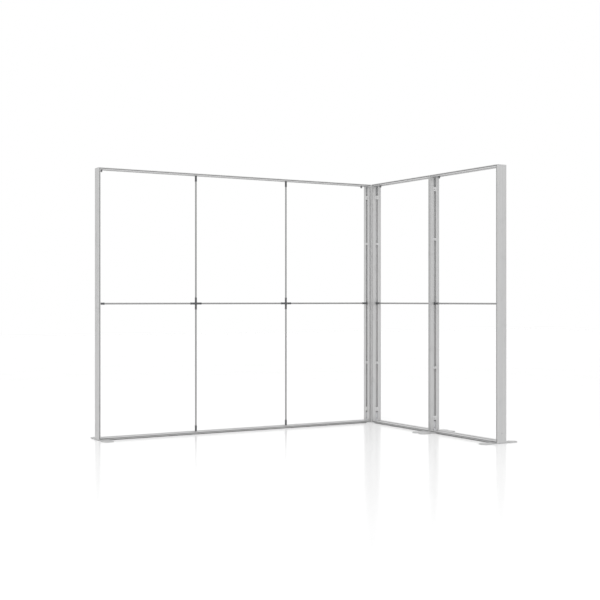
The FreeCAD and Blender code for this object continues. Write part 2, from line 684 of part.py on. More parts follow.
def corner_base_plate():
    """L-shaped plate under the corner post and the two frame ends beside it, with its screws."""
    label = "corner_base_plate"
    depth, reach, thick = D.profile_depth, D.corner_plate_reach, D.foot_thickness
    side_end = f"(0 - {D.corner_reveal} - {reach})"
    legs = [
        box(f"{label}_back_leg", f"({reach} + {depth})", depth, thick, f"(0 - {reach})"),
        box(f"{label}_side_leg", depth, f"({depth} + {D.corner_reveal} + {reach})", thick, y=side_end),
    ]
    bores = [
        screw_bore(f"{label}_back_bore", f"(0 - {D.near_hole})", MID_DEPTH),
        screw_bore(f"{label}_side_bore", MID_DEPTH, f"(0 - {D.corner_reveal} - {D.near_hole})"),
    ]
    bores += [screw_bore(f"{label}_cap_bore_{number}", x, MID_DEPTH) for number, x in enumerate(CAP_SCREWS)]
    plate = keep(cut(f"{label}_solid", fuse(f"{label}_outline", legs), bores), label)
    BACK.place(plate, BACK.length, "0", "0")
    add_foot_screw(BACK, from_end(BACK, D.near_hole))
    add_foot_screw(REAR_SIDE, D.near_hole)
    for x in CAP_SCREWS:
        add_foot_screw(BACK, f"({BACK.length} + {x})")


corner_base_plate()
group("foot_screws", foot_screws)


def lock_plate(name, height):
    """Plate across a slot, lying on Z = 0, with a bore for a lock's shaft."""
    width, thick = D.lock_plate_width, D.lock_plate_thickness
    sheet_metal = box(f"{name}_blank", width, height, thick, f"(0 - {width} / 2)", f"(0 - {height} / 2)")
    bore_radius = f"({D.lock_shaft_diameter} / 2 + {D.lock_running_clearance})"
    return cut(name, sheet_metal, [cylinder(f"{name}_bore", bore_radius, thick)])


def quarter_turn_lock(label, neighbour_wall):
    """Knob, shaft and cross head in one piece, along Z from the post's inner face.

    At rest the grip and the cross head lie across the slot, which is the locked position.
    """
    grip_foot = f"({D.lock_plate_thickness} + {D.lock_face_gap})"
    grip_top = f"({grip_foot} + {D.lock_knob_height} + {D.lock_grip_height})"
    head_top = f"({D.profile_thickness} + {neighbour_wall} + {D.lock_face_gap})"
    head_foot = f"({head_top} + {D.lock_head_thickness})"
    knob_radius = f"({D.lock_knob_diameter} / 2)"
    shaft_radius = f"({D.lock_shaft_diameter} / 2)"
    pieces = [
        cylinder(f"{label}_knob", knob_radius, D.lock_knob_height, z=grip_foot),
        box(
            f"{label}_grip", D.lock_knob_diameter, D.lock_grip_width, f"({grip_top} - {grip_foot})",
            f"(0 - {knob_radius})", f"(0 - {D.lock_grip_width} / 2)", grip_foot,
        ),
        cylinder(f"{label}_shaft", shaft_radius, f"({head_foot} + {grip_foot})", z=f"(0 - {head_foot})"),
        box(
            f"{label}_head", LOCK_HEAD_LENGTH, D.lock_shaft_diameter, D.lock_head_thickness,
            f"(0 - {LOCK_HEAD_LENGTH} / 2)", f"(0 - {shaft_radius})", f"(0 - {head_foot})",
        ),
    ]
    return keep(fuse(f"{label}_solid", pieces), label)


def frame_locks(frame, post, at_far_end, neighbour_wall):
    """Four lock plates and four quarter-turn locks on one post of a frame."""
    thick = D.profile_thickness
    along = from_end(frame, thick) if at_far_end else thick
    inward = AGAINST if at_far_end else ALONG
    plates = []
    for level, height in LOCK_HEIGHTS.items():
        up = f"({FLOOR_GAP} + {height})"
        outer = level in ("lowest", "highest")
        plate = lock_plate(
            f"{frame.name}_{level}_lock_plate", D.end_plate_height if outer else D.inner_plate_height)
        plates.append(frame.place(plate, along, MID_DEPTH, up, inward))
        lock = quarter_turn_lock(f"{frame.name}_{level}_lock", neighbour_wall)
        frame.place(lock, along, MID_DEPTH, up, inward)
    group(f"{frame.name}_{post}_lock_plates", plates)


frame_locks(BACK, "right_post", at_far_end=True, neighbour_wall=D.corner_wall)
frame_locks(REAR_SIDE, "back_post", at_far_end=False, neighbour_wall=D.corner_wall)
frame_locks(FRONT_SIDE, "back_post", at_far_end=False, neighbour_wall=D.slot_web)

doc.recompute()

for item in doc.Objects:
    if "Invalid" in item.State or "Error" in item.State:
        raise RuntimeError(f"{item.Label} did not rebuild: {item.State}")
    if item.TypeId == "PartDesign::Pocket" and item.Shape.Volume >= item.BaseFeature.Shape.Volume:
        raise RuntimeError(f"{item.Label} cut nothing")
for part in sub_parts:
    if part.Shape.isNull() or not part.Shape.isValid():
        raise RuntimeError(f"{part.Label} has no sound shape")

os.makedirs("parts", exist_ok=True)
for part in sub_parts:
    part.Shape.exportStep(f"parts/{part.Label}.step")
    print(part.Label, len(part.Shape.Solids), round(part.Shape.Volume))
print(len(sub_parts), "sub-parts")
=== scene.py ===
"""Looks of a modular exhibition stand: three open aluminium frames that stand as an L.

Lengths are in metres, and a rim, floor, rounding or share is a part of another length.
"""
from __future__ import annotations

import json
import logging
import math
from dataclasses import dataclass
from enum import Enum
from typing import Iterable, Mapping, Optional, Sequence, Union

import bmesh
import bpy
from mathutils import Matrix, Vector


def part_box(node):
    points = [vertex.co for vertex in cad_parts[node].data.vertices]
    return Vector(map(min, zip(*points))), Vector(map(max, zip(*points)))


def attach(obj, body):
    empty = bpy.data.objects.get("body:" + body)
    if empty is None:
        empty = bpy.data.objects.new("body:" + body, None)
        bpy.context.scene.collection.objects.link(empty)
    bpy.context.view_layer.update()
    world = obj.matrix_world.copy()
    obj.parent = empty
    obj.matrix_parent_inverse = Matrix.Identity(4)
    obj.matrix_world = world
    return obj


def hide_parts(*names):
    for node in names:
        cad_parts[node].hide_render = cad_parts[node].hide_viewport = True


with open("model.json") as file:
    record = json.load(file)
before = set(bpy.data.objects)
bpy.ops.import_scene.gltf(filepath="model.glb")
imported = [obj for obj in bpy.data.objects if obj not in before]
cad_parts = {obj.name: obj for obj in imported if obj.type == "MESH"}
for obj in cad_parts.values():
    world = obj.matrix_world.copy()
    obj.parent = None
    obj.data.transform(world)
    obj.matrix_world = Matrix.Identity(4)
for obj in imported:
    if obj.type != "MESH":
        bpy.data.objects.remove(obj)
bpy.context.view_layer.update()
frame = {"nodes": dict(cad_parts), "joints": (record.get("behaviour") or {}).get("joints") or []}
LOG = logging.getLogger("exhibition_stand")

Colour = tuple[float, float, float, float]
Point = tuple[float, float]
Material = bpy.types.Material
Socket = bpy.types.NodeSocket
WELD = 1e-5
SHARP = math.radians(32)
UP = Vector((0, 0, 1))


def grey(level: float, blue: float = 0.0) -> Colour:
    """Neutral colour of that level, with a little more or less blue."""
    return (level - blue / 2, level, level + blue, 1.0)


def even(pitch: float) -> tuple[float, ...]:
    """Scale of a pattern that is pitch wide along every axis, in metres."""
    return (1 / pitch,) * 3


def verts_of(geometry: Iterable[object]) -> list[bmesh.types.BMVert]:
    """The vertices among what an operator has made."""
    return [item for item in geometry if isinstance(item, bmesh.types.BMVert)]


class Grain(Enum):
    """Direction in which a bar or tube was drawn."""

    ALONG_X = 0
    ALONG_Y = 1
    ALONG_Z = 2

    def stretch(self, pitch: float, length: float) -> tuple[float, ...]:
        """Scale of a pattern whose lines are pitch wide and length long, in metres."""
        return tuple(1 / length if axis == self.value else 1 / pitch for axis in range(3))


class Signal:
    """A number that varies over a surface; arithmetic on it adds Math nodes."""

    def __init__(self, bench: "ShaderBench", socket: Socket) -> None:
        """Keep the bench that the number belongs to and the socket that gives it."""
        self.bench = bench
        self.socket = socket

    def _math(self, operation: str, first: "Feed", second: "Feed") -> "Signal":
        """Result of one Math node that two numbers feed."""
        node = self.bench.add("ShaderNodeMath", {"operation": operation}, {0: first, 1: second})
        return Signal(self.bench, node.outputs[0])

    def __add__(self, other: "Feed") -> "Signal":
        """Sum."""
        return self._math("ADD", self, other)

    def __radd__(self, other: "Feed") -> "Signal":
        """Sum, with the number on the left."""
        return self._math("ADD", other, self)

    def __sub__(self, other: "Feed") -> "Signal":
        """Difference."""
        return self._math("SUBTRACT", self, other)

    def __rsub__(self, other: "Feed") -> "Signal":
        """Difference, with the number on the left."""
        return self._math("SUBTRACT", other, self)

    def __mul__(self, other: "Feed") -> "Signal":
        """Product."""
        return self._math("MULTIPLY", self, other)

    def __rmul__(self, other: "Feed") -> "Signal":
        """Product, with the number on the left."""
        return self._math("MULTIPLY", other, self)

    def larger(self, other: "Feed") -> "Signal":
        """The larger of two numbers."""
        return self._math("MAXIMUM", self, other)

    def between(self, low: float, high: float) -> "Signal":
        """Smooth step from 0 at low to 1 at high."""
        node = self.bench.add(
            "ShaderNodeMapRange", {"interpolation_type": "SMOOTHSTEP"},
            {"Value": self, "From Min": low, "From Max": high},
        )
        return Signal(self.bench, node.outputs["Result"])


Feed = Union[float, Sequence[float], Socket, Signal]


class ShaderBench:
    """Node tree of one material or of the world, and the method that adds nodes to it."""

    def __init__(self, owner: Union[Material, bpy.types.World]) -> None:
        """Start an empty node tree.

        Args:
            owner: The material or world that gets it.
        """
        owner.use_nodes = True
        self.tree = owner.node_tree
        self.tree.nodes.clear()

    def add(
        self,
        kind: str,
        settings: Optional[Mapping[str, object]] = None,
        sockets: Optional[Mapping[Union[int, str], Feed]] = None,
    ) -> bpy.types.Node:
        """Add a node.

        Args:
            kind: The node's type.
            settings: Its properties, which are set first.
            sockets: Values or links of its inputs, by name or number.

        Returns:
            The new node.
        """
        node = self.tree.nodes.new(kind)
        for key, value in (settings or {}).items():
            setattr(node, key, value)
        for key, feed in (sockets or {}).items():
            source = feed.socket if isinstance(feed, Signal) else feed
            if isinstance(source, Socket):
                self.tree.links.new(source, node.inputs[key])
            else:
                node.inputs[key].default_value = source
        return node

    def spot(self, scale: Sequence[float] = (1, 1, 1)) -> Socket:
        """Place on the surface, in metres times a scale for each axis."""
        place = self.add("ShaderNodeTexCoord").outputs["Object"]
        return self.add("ShaderNodeMapping", None, {"Vector": place, "Scale": scale}).outputs[0]

    def noise(self, scale: Sequence[float], detail: float = 2.0, coarse: float = 0.5) -> Signal:
        """Add a noise pattern.

        Args:
            scale: Cells to the metre along each axis.
            detail: Number of finer layers.
            coarse: How much the finer layers count.

        Returns:
            The pattern, about 0.5 on average.
        """
        node = self.add(
            "ShaderNodeTexNoise", None,
            {"Vector": self.spot(scale), "Scale": 1.0, "Detail": detail, "Roughness": coarse},
        )
        return Signal(self, node.outputs[0])

    def cells(self, pitch: float) -> Signal:
        """Add a pattern of cells.

        Args:
            pitch: Width of a cell.

        Returns:
            A random level for each cell.
        """
        node = self.add("ShaderNodeTexVoronoi", None, {"Vector": self.spot(), "Scale": 1 / pitch})
        split = self.add("ShaderNodeSeparateColor", None, {0: node.outputs["Color"]})
        return Signal(self, split.outputs[0])

    def hollow(
        self, reach: float, shut: float = 0.2, clear: float = 0.9, own: bool = True
    ) -> Signal:
        """Find narrow grooves, slots and gaps, where walls block the sky; the mask places painted
        shade.

        Args:
            reach: How far a wall may be to count.
            shut: Open share of the sky at and below which a spot counts in full.
            clear: Open share at which it stops counting.
            own: Whether only the piece's own walls count.

        Returns:
            0 on open faces, rising to 1 in narrow hollows.
        """
        node = self.add(
            "ShaderNodeAmbientOcclusion", {"samples": 8, "only_local": own}, {"Distance": reach},
        )
        return 1 - Signal(self, node.outputs["AO"]).between(shut, clear)

    def blend(self, share: Feed, first: Feed, second: Feed) -> Socket:
        """Colour between two colours, by a share from 0 to 1."""
        node = self.add("ShaderNodeMix", {"data_type": "RGBA"}, {0: share, 6: first, 7: second})
        return node.outputs[2]

    def relief(self, height: Feed, depth: float, strength: float) -> Socket:
        """Normal of a surface with relief of that depth, in metres."""
        sockets = {"Strength": strength, "Distance": depth, "Height": height}
        return self.add("ShaderNodeBump", None, sockets).outputs[0]

    def surface(self, **sockets: Feed) -> None:
        """Finish the material with a Principled shader.

        Args:
            sockets: Values or links of its inputs, with an underscore for a space.
        """
        named = {
            key.replace("_", " ").title().replace("Ior", "IOR"): feed
            for key, feed in sockets.items()
        }
        shader = self.add("ShaderNodeBsdfPrincipled", None, named)
        self.add("ShaderNodeOutputMaterial", None, {"Surface": shader.outputs[0]})


@dataclass(frozen=True)
class Finish:
    """A finish of the stand; each kind wires its own nodes."""

    name: str

    def material(self) -> Material:
        """Make the material.

        Returns:
            The finished material.
        """
        made = bpy.data.materials.new(self.name)
        self.wire(ShaderBench(made))
        return made

    def wire(self, bench: ShaderBench) -> None:
        """Add the finish's nodes to an empty tree."""
        raise NotImplementedError


@dataclass(frozen=True)
class DrawnMetal(Finish):
    """Satin anodised metal with the fine lines that the die leaves along it, and painted shade in
    its grooves and slots where asked.
    """

    grain: Grain
    shade: Colour
    light: Colour
    roughness: float = 0.45
    metallic: float = 0.6
    # Painted shade in grooves and slots: whether it is used, how far walls count, and its colour.
    painted_hollow_shade: bool = False
    hollow_shade_reach: float = 0.0075
    hollow_shade_colour: Colour = (0.03, 0.03, 0.03, 1.0)
    line_pitch: float = 0.0011
    line_length: float = 0.45
    line_tone: float = 0.45
    line_dulling: float = 0.1
    line_depth: float = 0.00012
    line_strength: float = 0.25
    band_pitch: float = 0.016
    band_length: float = 2.2
    band_tone: float = 0.7
    smudge_pitch: float = 0.09
    smudge_range: Point = (0.52, 0.72)
    smudge_tone: float = 0.12
    smudge_dulling: float = 0.09
    tone_drop: float = 0.05

    def wire(self, bench: ShaderBench) -> None:
        """Add lines, bands and smudges, and painted shade in grooves and slots where it is asked
        for.

        Args:
            bench: The material's empty tree.
        """
        drawn = self.grain.stretch
        lines = bench.noise(drawn(self.line_pitch, self.line_length), detail=3.0, coarse=0.6)
        bands = bench.noise(drawn(self.band_pitch, self.band_length), detail=1.0)
        smudges = bench.noise(even(self.smudge_pitch), detail=3.0, coarse=0.55)
        smudges = smudges.between(*self.smudge_range)
        tone = lines * self.line_tone + bands * self.band_tone
        tone = tone - smudges * self.smudge_tone - self.tone_drop
        colour = bench.blend(tone, self.shade, self.light)
        # Painted shade: the colour darkens to near black where the piece's own walls block the
        # sky.
        if self.painted_hollow_shade:
            colour = bench.blend(bench.hollow(self.hollow_shade_reach), colour, self.hollow_shade_colour)
        dulling = lines * self.line_dulling + smudges * self.smudge_dulling
        bench.surface(
            base_color=colour,
            metallic=self.metallic,
            roughness=dulling + (self.roughness - self.line_dulling / 2),
            normal=bench.relief(lines, self.line_depth, self.line_strength),
        )


@dataclass(frozen=True)
class PowderCoat(Finish):
    """Baked powder coat with a fine orange peel and a few rubbed patches."""

    colour: Colour
    rubbed: Colour
    roughness: float = 0.5
    peel_pitch: float = 0.0016
    peel_dulling: float = 0.16
    peel_depth: float = 0.0002
    peel_strength: float = 0.3
    fleck_pitch: float = 0.00032
    fleck_tone: float = 0.4
    fleck_height: float = 0.3
    rub_pitch: float = 0.06
    rub_range: Point = (0.5, 0.74)
    rub_tone: float = 0.6
    rub_polish: float = 0.1

    def wire(self, bench: ShaderBench) -> None:
        """Add the orange peel, its flecks and the rubbed patches.

        Args:
            bench: The material's empty tree.
        """
        peel = bench.noise(even(self.peel_pitch), detail=2.0)
        fleck = bench.noise(even(self.fleck_pitch), detail=1.0)
        rub = bench.noise(even(self.rub_pitch), detail=4.0, coarse=0.6).between(*self.rub_range)
        tone = rub * self.rub_tone + fleck * self.fleck_tone
        dulling = peel * self.peel_dulling + (self.roughness - self.peel_dulling / 2)
        height = peel + fleck * self.fleck_height
        bench.surface(
            base_color=bench.blend(tone, self.colour, self.rubbed),
            metallic=0.0,
            roughness=dulling - rub * self.rub_polish,
            normal=bench.relief(height, self.peel_depth, self.peel_strength),
        )


@dataclass(frozen=True)
class MouldedPlastic(Finish):
    """Hard plastic from a spark-eroded mould, paler where it has been handled."""

    colour: Colour
    handled: Colour
    roughness: float = 0.48
    grit_pitch: float = 0.0006
    grit_tone: float = 0.3
    grit_dulling: float = 0.2
    grit_depth: float = 0.00008
    grit_strength: float = 0.35
    patch_pitch: float = 0.018
    patch_range: Point = (0.42, 0.7)
    patch_tone: float = 0.7
    patch_polish: float = 0.08
    base_polish: float = 0.06

    def wire(self, bench: ShaderBench) -> None:
        """Add the mould's grit and the handled patches.

        Args:
            bench: The material's empty tree.
        """
        grit = bench.noise(even(self.grit_pitch), detail=2.0, coarse=0.6)
        patch = bench.noise(even(self.patch_pitch), detail=3.0).between(*self.patch_range)
        tone = patch * self.patch_tone + grit * self.grit_tone
        dulling = grit * self.grit_dulling + (self.roughness - self.base_polish)
        bench.surface(
            base_color=bench.blend(tone, self.colour, self.handled),
            metallic=0.0,
            roughness=dulling - patch * self.patch_polish,
            normal=bench.relief(grit, self.grit_depth, self.grit_strength),
        )


@dataclass(frozen=True)
class PlatedSteel(Finish):
    """Zinc plated or cast metal with a faint crystal pattern and fine scratches."""

    shade: Colour
    light: Colour
    roughness: float = 0.3
    metallic: float = 0.92
    crystal_pitch: float = 0.004
    crystal_tone: float = 0.5
    crystal_dulling: float = 0.08
    scratch_pitch: float = 0.0004
    scratch_length: float = 0.02
    scratch_tone: float = 0.5
    scratch_dulling: float = 0.12
    scratch_depth: float = 0.00005
    scratch_strength: float = 0.2
    base_polish: float = 0.1

    def wire(self, bench: ShaderBench) -> None:
        """Add the crystals and the scratches.

        Args:
            bench: The material's empty tree.
        """
        crystal = bench.cells(self.crystal_pitch)
        drawn = Grain.ALONG_Y.stretch(self.scratch_pitch, self.scratch_length)
        scratch = bench.noise(drawn, detail=2.0)
        tone = crystal * self.crystal_tone + scratch * self.scratch_tone
        dulling = crystal * self.crystal_dulling + scratch * self.scratch_dulling
        bench.surface(
            base_color=bench.blend(tone, self.shade, self.light),
            metallic=self.metallic,
            roughness=dulling + (self.roughness - self.base_polish),
            normal=bench.relief(scratch, self.scratch_depth, self.scratch_strength),
        )


@dataclass(frozen=True)
class Span:
    """Box that a solid fills, in metres."""

    low: Vector
    high: Vector

    @property
    def centre(self) -> Vector:
        """Middle of the box."""
        return (self.low + self.high) / 2

    @property
    def size(self) -> Vector:
        """Length of the box along each axis."""
        return self.high - self.low

    def axis(self, longest: bool) -> int:
        """Number of the box's longest axis, or of its shortest one."""
        order = sorted(range(3), key=lambda number: self.size[number])
        return order[-1] if longest else order[0]


def node_span(node: str) -> Span:
    """Box of a whole CAD node."""
    return Span(*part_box(node))


def solid_spans(node: str) -> list[Span]:
    """Find the solids of a CAD node.

    Args:
        node: Name of the node.

    Returns:
        The box of each of its solids, sorted by place.
    """
    copy = bmesh.new()
    copy.from_mesh(frame["nodes"][node].data)
    bmesh.ops.remove_doubles(copy, verts=copy.verts, dist=WELD)
    left = set(copy.verts)
    spans = []
    while left:
        front = [left.pop()]
        island = []
        while front:
            vert = front.pop()
            island.append(vert.co.copy())
            near = {edge.other_vert(vert) for edge in vert.link_edges} & left
            left -= near
            front.extend(near)
        low = Vector(min(co[axis] for co in island) for axis in range(3))
        high = Vector(max(co[axis] for co in island) for axis in range(3))
        spans.append(Span(low, high))
    copy.free()
    return sorted(spans, key=lambda span: tuple(round(value, 4) for value in span.centre))


def seat(place: Vector, outward: Vector, along: Vector) -> Matrix:
    """Find the matrix that puts a pattern in place.

    Args:
        place: Where the pattern's origin goes.
        outward: Direction of its Z axis.
        along: Direction of its Y axis.

    Returns:
        The matrix.
    """
    across = along.cross(outward)
    turn = Matrix((across, along, outward)).transposed()
    return Matrix.Translation(place) @ turn.to_4x4()


def upright(direction: Vector) -> Vector:
    """A direction square to the given one: up, or along Y for one that is itself upright."""
    return Vector((0, 1, 0)) if abs(direction.z) > 0.5 else UP.copy()


class Blank:
    """A mesh on the bench, shaped about its own origin with bmesh operators."""

    def __init__(self) -> None:
        """Start with an empty mesh."""
        self.mesh = bmesh.new()

    def lathe(self, outline: Sequence[Point], steps: int) -> None:
        """Turn an outline a full turn about Z.

        Args:
            outline: Its points, as radius and height.
            steps: Number of steps in the turn.
        """
        verts = [self.mesh.verts.new((radius, 0.0, height)) for radius, height in outline]
        edges = [self.mesh.edges.new(pair) for pair in zip(verts, verts[1:])]
        bmesh.ops.spin(
            self.mesh, geom=verts + edges, cent=(0, 0, 0), axis=(0, 0, 1),
            angle=math.tau, steps=steps, use_merge=True,
        )
        self.close()

    def knurl(self, radius: float, low: float, high: float, teeth: int, depth: float) -> None:
        """Press teeth into a turned rim.

        Args:
            radius: The rim's radius.
            low: Height at which the teeth start.
            high: Height at which they end.
            teeth: Number of teeth, half of the turned steps.
            depth: How far the gaps go in.
        """
        gaps = []
        for vert in self.mesh.verts:
            step = round(math.atan2(vert.co.y, vert.co.x) / math.tau * teeth * 2)
            rim = abs(vert.co.xy.length - radius) < WELD
            if rim and step % 2 and low - WELD <= vert.co.z <= high + WELD:
                gaps.append(vert)
        share = 1 - depth / radius
        bmesh.ops.scale(self.mesh, vec=(share, share, 1), verts=gaps)

    def block(
        self, size: Sequence[float], centre: Sequence[float], soft: float, segments: int = 2
    ) -> None:
        """Add a block with rounded edges.

        Args:
            size: Its length along each axis.
            centre: Its middle.
            soft: Width of the rounding.
            segments: Steps of the rounding.
        """
        made = bmesh.ops.create_cube(self.mesh, size=1.0)["verts"]
        bmesh.ops.scale(self.mesh, vec=size, verts=made)
        bmesh.ops.translate(self.mesh, vec=centre, verts=made)
        edges = dict.fromkeys(edge for vert in made for edge in vert.link_edges)
        self.round_off(edges, soft, segments)

    def plate(
        self, width: float, height: float, thickness: float, corner: float, bore: float
    ) -> None:
        """Add a plate with round corners and a round bore, lying on Z = 0.

        Args:
            width: Its size along X.
            height: Its size along Y.
            thickness: Its size along Z.
            corner: Radius of its corners.
            bore: Radius of its bore.
        """
        bmesh.ops.create_circle(self.mesh, segments=32, radius=bore)
        half_diagonal = math.sqrt(0.5)
        rim = bmesh.ops.create_circle(self.mesh, segments=4, radius=half_diagonal)["verts"]
        bmesh.ops.rotate(self.mesh, verts=rim, matrix=Matrix.Rotation(math.pi / 4, 3, "Z"))
        bmesh.ops.scale(self.mesh, vec=(width, height, 1), verts=rim)
        bmesh.ops.bevel(
            self.mesh, geom=rim, offset=corner, offset_type="OFFSET",
            affect="VERTICES", segments=5, profile=0.5, material=-1,
        )
        loops = [edge for edge in self.mesh.edges if edge.is_wire]
        faces = bmesh.ops.bridge_loops(self.mesh, edges=loops)["faces"]
        raised = bmesh.ops.extrude_face_region(self.mesh, geom=faces)["geom"]
        bmesh.ops.translate(self.mesh, vec=(0, 0, thickness), verts=verts_of(raised))
        self.close()

    def close(self) -> None:
        """Merge doubles and turn every face outwards."""
        bmesh.ops.remove_doubles(self.mesh, verts=self.mesh.verts, dist=WELD / 10)
        bmesh.ops.recalc_face_normals(self.mesh, faces=self.mesh.faces)

    def round_off(
        self, edges: Iterable[bmesh.types.BMEdge], width: float, segments: int = 2
    ) -> None:
        """Round the given edges."""
        bmesh.ops.bevel(
            self.mesh, geom=list(edges), offset=width, offset_type="OFFSET",
            affect="EDGES", segments=segments, profile=0.5, material=-1, clamp_overlap=True,
        )

    def corners(self) -> list[bmesh.types.BMEdge]:
        """Edges at which two faces meet at an angle."""
        closed = (edge for edge in self.mesh.edges if edge.is_manifold)
        return [edge for edge in closed if edge.calc_face_angle() > SHARP]

    def stamp(self, pattern: "Blank", place: Matrix) -> None:
        """Add a copy of another mesh.

        Args:
            pattern: The other mesh.
            place: Where the copy goes.
        """
        copy = bpy.data.meshes.new("pattern")
        pattern.mesh.to_mesh(copy)
        copy.transform(place)
        self.mesh.from_mesh(copy)
        bpy.data.meshes.remove(copy)

    def piece(self, name: str, material: Material) -> bpy.types.Object:
        """Make the finished object.

        Args:
            name: Name of the piece.
            material: Its finish.

        Returns:
            The object, at the origin, with its place in its mesh.
        """
        for face in self.mesh.faces:
            face.smooth = True
        for edge in self.corners():
            edge.smooth = False
        data = bpy.data.meshes.new(name)
        self.mesh.to_mesh(data)
        self.mesh.free()
        data.materials.append(material)
        made = bpy.data.objects.new(name, data)
        bpy.context.scene.collection.objects.link(made)
        return made


def install(piece: bpy.types.Object, body: str, slot: str, *nodes: str) -> None:
    """Put a piece in the place of CAD nodes.

    Args:
        piece: The piece.
        body: The body it rides on.
        slot: Its material slot in the record; not used.
        nodes: The nodes it stands for.
    """
    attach(piece, body)
    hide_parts(*nodes)
    LOG.info("%s: %d faces, for %s", piece.name, len(piece.data.polygons), ", ".join(nodes))


def dress(node: str, material: Material, soft: float = 0.0, segments: int = 2) -> None:
    """Give a CAD node its finish.

    Args:
        node: Name of the node.
        material: The finish.
        soft: Width of the rounding of its edges, or 0 for none.
        segments: Steps of that rounding.
    """
    part = frame["nodes"][node]
    part.data.materials.clear()
    part.data.materials.append(material)
    if soft:
        weld = part.modifiers.new("weld", "WELD")
        weld.merge_threshold = WELD
        edge = part.modifiers.new("soft_edges", "BEVEL")
        edge.width = soft
        edge.segments = segments
        edge.limit_method = "ANGLE"
        edge.angle_limit = SHARP
        edge.profile = 0.5
    LOG.info("%s: dressed with %s", node, material.name)


@dataclass
class AluminiumFrame:
    """Two posts and two rails of one rectangular frame, mitred at the corners."""

    name: str
    posts: tuple[str, str]
    level_grain: Grain
    edge: float = 0.0004

    def dress(self, finishes: Mapping[Grain, Material]) -> None:
        """Give posts and rails the finish drawn along them.

        Args:
            finishes: The finish for each direction.
        """
        for post in self.posts:
            dress(f"{self.name}_{post}_post", finishes[Grain.ALONG_Z], self.edge)
        for rail in ("bottom", "top"):
            dress(f"{self.name}_{rail}_rail", finishes[self.level_grain], self.edge)


@dataclass
class CornerColumn:
    """Hollow post in the corner between two frames, with its caps and its base plate."""

    post_edge: float = 0.0015
    cap_edge: float = 0.0008
    plate_edge: float = 0.0012

    def dress(self, metal: Material, plastic: Material, coat: Material) -> None:
        """Dress the corner's pieces.

        Args:
            metal: Finish of the post.
            plastic: Finish of its caps.
            coat: Finish of the base plate.
        """
        dress("corner_post", metal, self.post_edge, segments=3)
        for end in ("base", "top"):
            dress(f"corner_{end}_cap", plastic, self.cap_edge)
        dress("corner_base_plate", coat, self.plate_edge)


@dataclass
class FootPlates:
    """Four floor plates with round ends."""

    nodes: tuple[str, ...] = (
        "back_left_foot_plate", "rear_side_front_foot_plate",
        "front_side_back_foot_plate", "front_side_front_foot_plate",
    )
    edge: float = 0.0028

    def dress(self, coat: Material) -> None:
        """Give every plate its coat and soft edges."""
        for node in self.nodes:
            dress(node, coat, self.edge, segments=3)


@dataclass
class FootScrews:
    """Screws with low heads under the floor plates, with a hexagon for the key."""

    node: str = "foot_screws"
    head_radius: float = 0.007
    head_height: float = 0.003
    shank_radius: float = 0.004
    key_radius: float = 0.0034
    key_depth: float = 0.002
    key_margin: float = 1.1
    edge: float = 0.0004
    head_steps: int = 36
    shank_steps: int = 24

    def pattern(self, length: float) -> Blank:
        """Make one screw that stands on its head.

        Args:
            length: Length of the whole screw.

        Returns:
            The screw, along Z.
        """
        screw = Blank()
        key = bmesh.ops.create_circle(screw.mesh, segments=6, radius=self.key_radius)["verts"]
        rim = bmesh.ops.create_circle(
            screw.mesh, segments=self.head_steps, radius=self.head_radius
        )["verts"]
        bmesh.ops.bridge_loops(screw.mesh, edges=list(screw.mesh.edges))
        rim_edges = [edge for edge in screw.mesh.edges if all(vert in rim for vert in edge.verts)]
        key_edges = [edge for edge in screw.mesh.edges if all(vert in key for vert in edge.verts)]
        self._pull(screw, rim_edges, self.head_height)
        self._pull(screw, key_edges, self.key_depth)
        open_edges = [edge for edge in screw.mesh.edges if edge.is_boundary]
        bmesh.ops.holes_fill(screw.mesh, edges=open_edges, sides=0)
        screw.close()
        keyway = self.key_radius * self.key_margin
        outer = [
            edge for edge in screw.corners()
            if all(vert.co.xy.length > keyway for vert in edge.verts)
        ]
        screw.round_off(outer, self.edge)
        radius, tip = self.shank_radius, self.edge * 2
        screw.lathe(
            [
                (0.0, self.head_height), (radius, self.head_height),
                (radius, length - tip), (radius - tip, length), (0.0, length),
            ],
            self.shank_steps,
        )
        return screw

    @staticmethod
    def _pull(screw: Blank, edges: Sequence[bmesh.types.BMEdge], height: float) -> None:
        """Raise a wall of that height from an edge loop."""
        raised = bmesh.ops.extrude_edge_only(screw.mesh, edges=list(edges))["geom"]
        bmesh.ops.translate(screw.mesh, vec=(0, 0, height), verts=verts_of(raised))

    def build(self, steel: Material) -> None:
        """Put a screw in the place of each one in the frame.

        Args:
            steel: Their finish.
        """
        spans = solid_spans(self.node)
        pattern = self.pattern(spans[0].size.z)
        screws = Blank()
        for span in spans:
            screws.stamp(pattern, Matrix.Translation((span.centre.x, span.centre.y, span.low.z)))
        install(screws.piece("key_head_foot_screws", steel), "stand", "fastener_steel", self.node)


